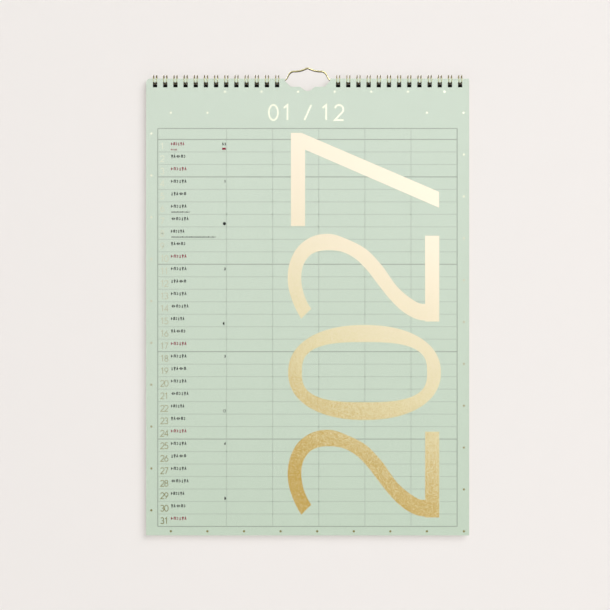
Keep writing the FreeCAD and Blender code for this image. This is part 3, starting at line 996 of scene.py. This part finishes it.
class CALENDAR_OT_stage(bpy.types.Operator):
    """Sets up the wall, the floor, the soft light and the camera"""

    bl_idname = "calendar.set_stage"
    bl_label = "Set the stage"

    def execute(self, context):
        scene = context.scene
        wall = scene.calendar_colours.wall
        self.add_wall(wall)
        self.add_floor(wall)
        self.light_world(wall)
        self.add_lamp("soft_window", (2.9, -4.4, 2.7), 4.8, 255)
        self.add_lamp("soft_back", (-2.5, 4.4, 1.5), 4.0, 190)
        view = bpy.data.cameras.new("camera")
        view.lens = 120
        view.sensor_width = 36
        view.clip_end = 30
        eye = bpy.data.objects.new("camera", view)
        eye.location = (-0.0024, -1.8734, -0.2171)
        eye.rotation_euler = (math.pi / 2, 0, 0)
        scene.collection.objects.link(eye)
        scene.camera = eye
        scene.view_settings.view_transform = "Standard"
        return {"FINISHED"}

    def add_lamp(self, name, place, size, energy):
        """A large square soft light that looks at the middle of the calendar."""
        lamp = bpy.data.lights.new(name, "AREA")
        lamp.shape = "SQUARE"
        lamp.size = size
        lamp.energy = energy
        holder = bpy.data.objects.new(name, lamp)
        holder.location = place
        aim = np.array([0, 0, LOOK_LEVEL]) - np.array(place)
        level = math.hypot(aim[0], aim[1])
        holder.rotation_euler = (math.atan2(level, -aim[2]), 0, math.atan2(-aim[0], aim[1]))
        bpy.context.scene.collection.objects.link(holder)

    def add_plane(self, name, corners, material):
        """A flat rectangle of the stage, from its four corners."""
        mesh = bpy.data.meshes.new(name)
        mesh.from_pydata(corners, [], [(0, 1, 2, 3)])
        plane = bpy.data.objects.new(name, mesh)
        mesh.materials.append(material)
        bpy.context.scene.collection.objects.link(plane)
        return plane

    def add_wall(self, colour):
        """A matt painted wall that is only there from its front.

        The narrow place behind the sheets gets little light, so the wall's colour is darkened
        there as painted shade, where ambient occlusion finds little open room.
        """
        material, tree = new_material("matt_wall_paint")
        depth = add_node(tree, "ShaderNodeAmbientOcclusion", {"Distance": 0.03}, samples=8)
        # Painted shade: behind the punched holes, where both combs and the board's thickness keep
        # the light off, the wall is darkened more.
        place = add_node(tree, "ShaderNodeTexCoord")
        parts = add_node(tree, "ShaderNodeSeparateXYZ", {"Vector": place.outputs["Object"]})
        open_share = add_node(tree, "ShaderNodeMath",
                              {0: hole_rows(tree, parts, -15.5 * MM, 3.5 * MM), 1: -0.3,
                               2: depth.outputs["AO"]}, operation="MULTIPLY_ADD")
        # Above the sheets' top edge nothing but the turned clear cover can stand before it, so no
        # painted shade is laid there.
        above = add_node(tree, "ShaderNodeMapRange",
                         {"Value": parts.outputs["Z"], "From Min": SHEET_TOP - 0.6 * MM,
                          "From Max": SHEET_TOP + 0.6 * MM})
        total = add_node(tree, "ShaderNodeMath",
                         {0: open_share.outputs[0], 1: above.outputs["Result"]},
                         operation="ADD")
        painted_wall_shade = add_node(tree, "ShaderNodeMapRange",
                          {"Value": total.outputs[0], "From Min": 0.26, "From Max": 0.4,
                           "To Min": 0.01})
        tone = add_node(tree, "ShaderNodeVectorMath",
                        {0: tuple(colour), "Scale": painted_wall_shade.outputs["Result"]},
                        operation="SCALE")
        shaded = add_node(tree, "ShaderNodeBsdfDiffuse", {"Color": tone.outputs[0]})
        even = add_node(tree, "ShaderNodeEmission", {"Color": tone.outputs[0], "Strength": 1.0})
        paint_coat = add_node(tree, "ShaderNodeMixShader",
                              {0: EVEN_SHARE, 1: shaded.outputs[0], 2: even.outputs[0]})
        nothing = add_node(tree, "ShaderNodeBsdfTransparent")
        side = add_node(tree, "ShaderNodeNewGeometry")
        coat = add_node(tree, "ShaderNodeMixShader",
                        {0: side.outputs["Backfacing"], 1: paint_coat.outputs[0],
                         2: nothing.outputs[0]})
        add_node(tree, "ShaderNodeOutputMaterial", {"Surface": coat.outputs[0]})
        corners = [(-4, WALL_FACE, FLOOR_LEVEL), (4, WALL_FACE, FLOOR_LEVEL),
                   (4, WALL_FACE, 3), (-4, WALL_FACE, 3)]
        wall = self.add_plane("wall", corners, material)
        wall.visible_diffuse = False
        wall.visible_glossy = False
        wall.visible_transmission = False
        wall.visible_shadow = False

    def add_floor(self, colour):
        """A pale matt floor well below the calendar."""
        material, tree = new_material("pale_matt_floor")
        shaded = add_node(tree, "ShaderNodeBsdfDiffuse", {"Color": paint(colour)})
        even = add_node(tree, "ShaderNodeEmission", {"Color": paint(colour), "Strength": 1.0})
        path = add_node(tree, "ShaderNodeLightPath")
        share = add_node(tree, "ShaderNodeMath",
                         {0: path.outputs["Is Camera Ray"], 1: EVEN_SHARE},
                         operation="MULTIPLY")
        coat = add_node(tree, "ShaderNodeMixShader",
                        {0: share.outputs[0], 1: shaded.outputs[0], 2: even.outputs[0]})
        add_node(tree, "ShaderNodeOutputMaterial", {"Surface": coat.outputs[0]})
        corners = [(-12, -12, FLOOR_LEVEL), (12, -12, FLOOR_LEVEL), (12, 12, FLOOR_LEVEL),
                   (-12, 12, FLOOR_LEVEL)]
        self.add_plane("floor", corners, material)

    def light_world(self, colour):
        """Even soft light from all round, seen as the wall's own colour.

        What metal mirrors is a pale room that is brightest in front of the calendar and a
        little above it, and darker below and towards the wall.
        """
        world = bpy.data.worlds.new("soft_room")
        bpy.context.scene.world = world
        world.use_nodes = True
        tree = world.node_tree
        tree.nodes.clear()
        path = add_node(tree, "ShaderNodeLightPath")
        ray = add_node(tree, "ShaderNodeTexCoord")
        parts = add_node(tree, "ShaderNodeSeparateXYZ", {"Vector": ray.outputs["Generated"]})
        front = add_node(tree, "ShaderNodeMath",
                         {0: parts.outputs["Y"], 1: -0.8}, operation="MULTIPLY")
        rear = add_node(tree, "ShaderNodeMath",
                        {0: parts.outputs["Y"], 1: 0.45}, operation="MULTIPLY")
        side = add_node(tree, "ShaderNodeMath",
                        {0: front.outputs[0], 1: rear.outputs[0]}, operation="MAXIMUM")
        rise = add_node(tree, "ShaderNodeMath",
                        {0: parts.outputs["Z"], 1: 0.32, 2: side.outputs[0]},
                        operation="MULTIPLY_ADD")
        level = add_node(tree, "ShaderNodeMapRange",
                         {"Value": rise.outputs[0], "From Min": -0.05, "From Max": 0.8,
                          "To Min": 0.08, "To Max": 0.9}, interpolation_type="SMOOTHSTEP")
        mirrored = add_node(tree, "ShaderNodeMix",
                            {0: path.outputs["Is Glossy Ray"],
                             6: (AMBIENT, AMBIENT, AMBIENT, 1),
                             7: level.outputs["Result"]}, data_type="RGBA")
        seen = add_node(tree, "ShaderNodeMath",
                        {0: path.outputs["Is Camera Ray"],
                         1: path.outputs["Is Transmission Ray"]}, operation="MAXIMUM")
        light = add_node(tree, "ShaderNodeMix",
                         {0: seen.outputs[0], 6: mirrored.outputs[2], 7: paint(colour)},
                         data_type="RGBA")
        back = add_node(tree, "ShaderNodeBackground",
                        {"Color": light.outputs[2], "Strength": 1.0})
        add_node(tree, "ShaderNodeOutputWorld", {"Surface": back.outputs[0]})


class CALENDAR_PT_panel(bpy.types.Panel):
    """The calendar's steps, sizes and colours"""

    bl_label = "Wall calendar"
    bl_idname = "CALENDAR_PT_panel"
    bl_space_type = "VIEW_3D"
    bl_region_type = "UI"
    bl_category = "Calendar"

    def draw(self, context):
        for step in OPERATORS:
            self.layout.operator(step.bl_idname)
        for settings in (context.scene.calendar_sizes, context.scene.calendar_colours):
            for name in settings.__annotations__:
                self.layout.prop(settings, name)


OPERATORS = (
    CALENDAR_OT_wires,
    CALENDAR_OT_sheets,
    CALENDAR_OT_table,
    CALENDAR_OT_dates,
    CALENDAR_OT_marks,
    CALENDAR_OT_year,
    CALENDAR_OT_stage,
)
CLASSES = (CalendarSizes, CalendarColours, *OPERATORS, CALENDAR_PT_panel)


def register():
    """Registers the classes and hangs the settings on the scene."""
    for kind in CLASSES:
        bpy.utils.register_class(kind)
    bpy.types.Scene.calendar_sizes = bpy.props.PointerProperty(type=CalendarSizes)
    bpy.types.Scene.calendar_colours = bpy.props.PointerProperty(type=CalendarColours)


def unregister():
    """Takes the settings and the classes away again."""
    del bpy.types.Scene.calendar_colours
    del bpy.types.Scene.calendar_sizes
    for kind in reversed(CLASSES):
        bpy.utils.unregister_class(kind)


def main():
    """Runs every step."""
    register()
    bpy.ops.calendar.finish_wires()
    bpy.ops.calendar.finish_sheets()
    bpy.ops.calendar.print_table()
    bpy.ops.calendar.stamp_dates()
    bpy.ops.calendar.print_marks()
    bpy.ops.calendar.stamp_year()
    bpy.ops.calendar.set_stage()


if __name__ == "__main__":
    main()
